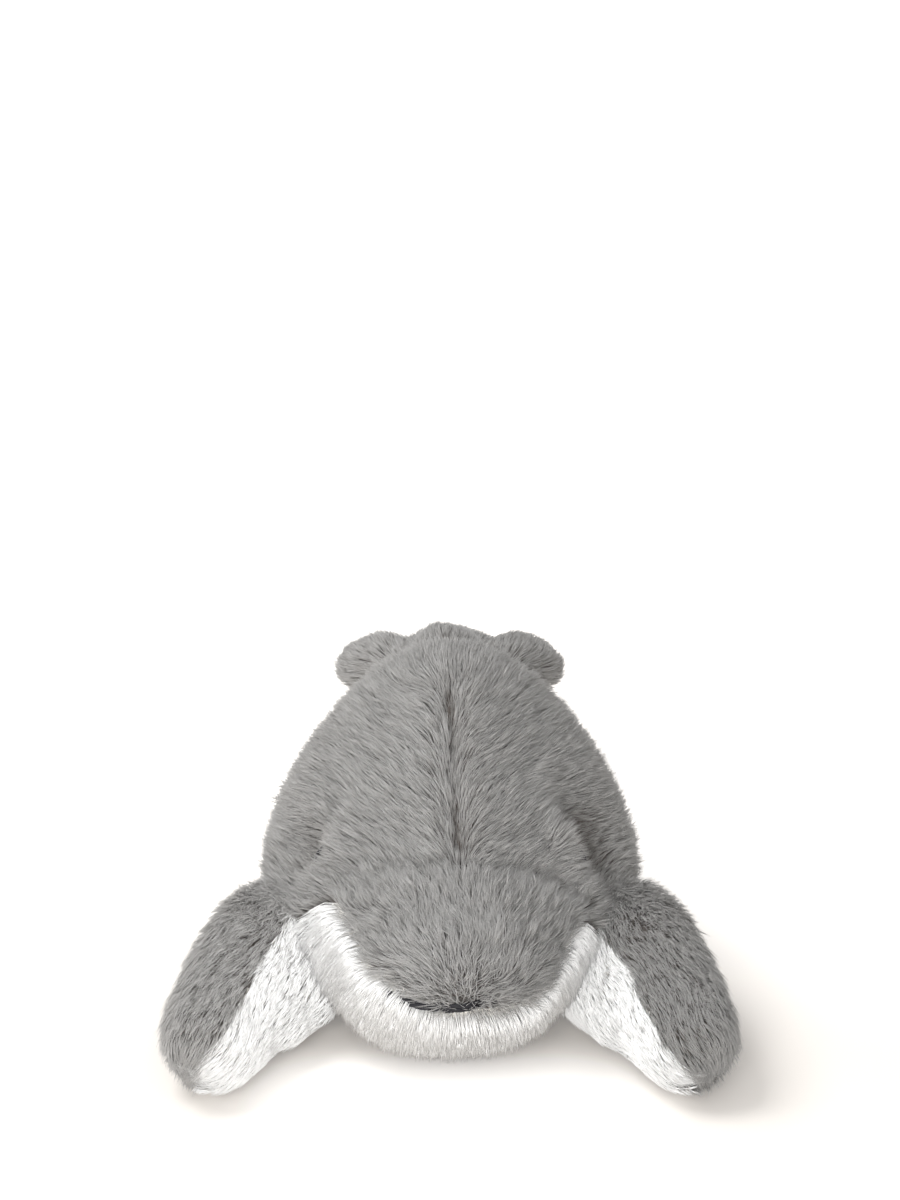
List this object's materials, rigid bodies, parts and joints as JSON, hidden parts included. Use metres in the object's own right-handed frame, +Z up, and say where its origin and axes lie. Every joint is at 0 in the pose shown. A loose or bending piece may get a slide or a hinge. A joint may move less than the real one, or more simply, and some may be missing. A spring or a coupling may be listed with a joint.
{
  "type": "plush dolphin",
  "caption": "Soft stuffed dolphin lying on its belly, long grey pile above and white below, with fins, tail and flukes that bend at their seams.",
  "frame": {"origin": "on the floor, under the middle of the whole toy", "axes": "+Y from the snout to the flukes, +Z up, +X to the toy's own left"},
  "size_m": [0.2536, 0.3828, 0.141],
  "materials": {
    "grey_plush": "long soft pile, matte",
    "white_plush": "long soft pile, matte",
    "black_thread": "embroidery thread, slight sheen",
    "stuffing": "loose polyester fibre"
  },
  "bodies": {
    "trunk": {"back_panel_left": "grey_plush", "back_panel_right": "grey_plush", "belly_panel": "white_plush", "snout_panel": "grey_plush", "jaw_panel": "white_plush", "head_filling": "stuffing", "trunk_filling": "stuffing", "eye_left": "black_thread", "eye_right": "black_thread", "mouth_stitching": "black_thread"},
    "fin_left": {"fin_left_outer_panel": "grey_plush", "fin_left_inner_panel": "white_plush", "fin_left_filling": "stuffing"},
    "fin_right": {"fin_right_outer_panel": "grey_plush", "fin_right_inner_panel": "white_plush", "fin_right_filling": "stuffing"},
    "dorsal": {"dorsal_left_panel": "grey_plush", "dorsal_right_panel": "grey_plush", "dorsal_filling": "stuffing"},
    "tail": {"tail_left_panel": "grey_plush", "tail_right_panel": "grey_plush", "tail_under_panel": "white_plush", "tail_filling": "stuffing"},
    "flukes": {"fluke_top_panel": "grey_plush", "fluke_under_panel": "grey_plush", "fluke_filling": "stuffing"}
  },
  "joints": [
    {"name": "fin_left_flap", "type": "hinge", "parent": "trunk", "child": "fin_left", "pos_m": [0.08, -0.095, 0.034], "axis": [-0.3726, -0.2725, 0.8871], "range_deg": [0, 35], "stiffness_Nm_per_rad": 0.15},
    {"name": "fin_right_flap", "type": "hinge", "parent": "trunk", "child": "fin_right", "pos_m": [-0.08, -0.095, 0.034], "axis": [-0.3726, 0.2725, -0.8871], "range_deg": [0, 35], "stiffness_Nm_per_rad": 0.15},
    {"name": "dorsal_lean", "type": "hinge", "parent": "trunk", "child": "dorsal", "pos_m": [0, 0.046, 0.11418], "axis": [0, 0.7914, -0.6113], "range_deg": [-25, 25], "stiffness_Nm_per_rad": 0.05},
    {"name": "tail_bend", "type": "hinge", "parent": "trunk", "child": "tail", "pos_m": [0, 0.086, 0.0485], "axis": [1, 0, 0], "range_deg": [-8, 20], "stiffness_Nm_per_rad": 1.2},
    {"name": "fluke_flap", "type": "hinge", "parent": "tail", "child": "flukes", "pos_m": [0, 0.155, 0.058], "axis": [1, 0, 0], "range_deg": [-20, 25], "stiffness_Nm_per_rad": 0.2}
  ]
}
